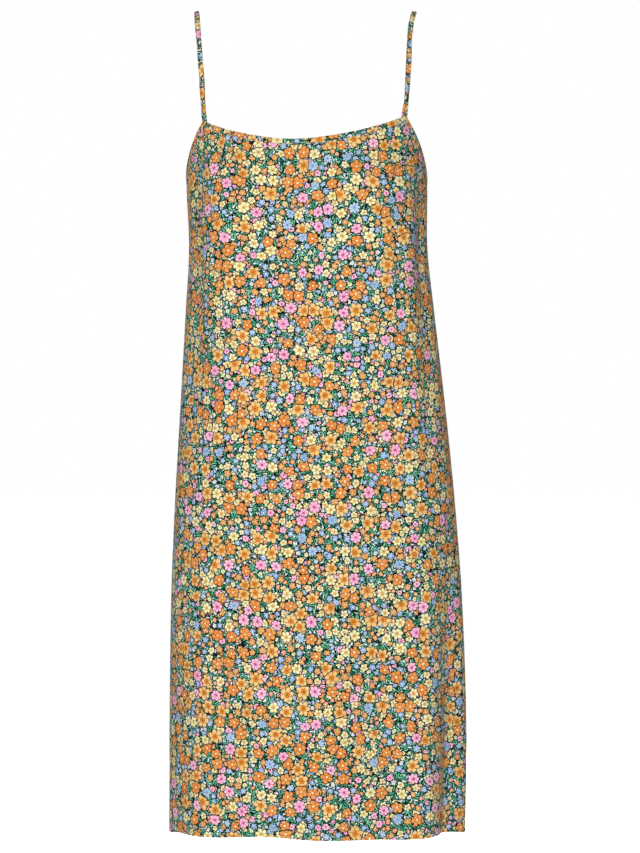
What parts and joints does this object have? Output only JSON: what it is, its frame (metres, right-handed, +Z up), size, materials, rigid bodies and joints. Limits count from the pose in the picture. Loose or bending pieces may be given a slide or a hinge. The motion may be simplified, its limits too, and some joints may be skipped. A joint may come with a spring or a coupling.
{
  "type": "sundress",
  "caption": "Sleeveless slip sundress in floral print cloth, filled out as worn, with thin shoulder straps, a shallow scooped neck and an A-line skirt to the knee.",
  "frame": {"origin": "midway between the two places where the straps rest on the shoulders, at the underside of the straps", "axes": "+Z up, -Y is the front of the dress, +X is the wearer's left side"},
  "size_m": [0.3555, 0.2412, 0.9797],
  "materials": {
    "print_cloth": "matte viscose crepe, printed all over with small garden flowers and leaves on a near-black ground",
    "print_binding": "bias strip of the same printed cloth, folded over the edge and stitched",
    "print_strap": "rouleau tube of the same printed cloth"
  },
  "bodies": {
    "root": {"front_panel": "print_cloth", "front_neck_binding": "print_binding", "front_armhole_binding_left": "print_binding", "front_armhole_binding_right": "print_binding", "back_panel": "print_cloth", "back_neck_binding": "print_binding", "back_armhole_binding_left": "print_binding", "back_armhole_binding_right": "print_binding", "strap_left": "print_strap", "strap_right": "print_strap"}
  },
  "joints": []
}
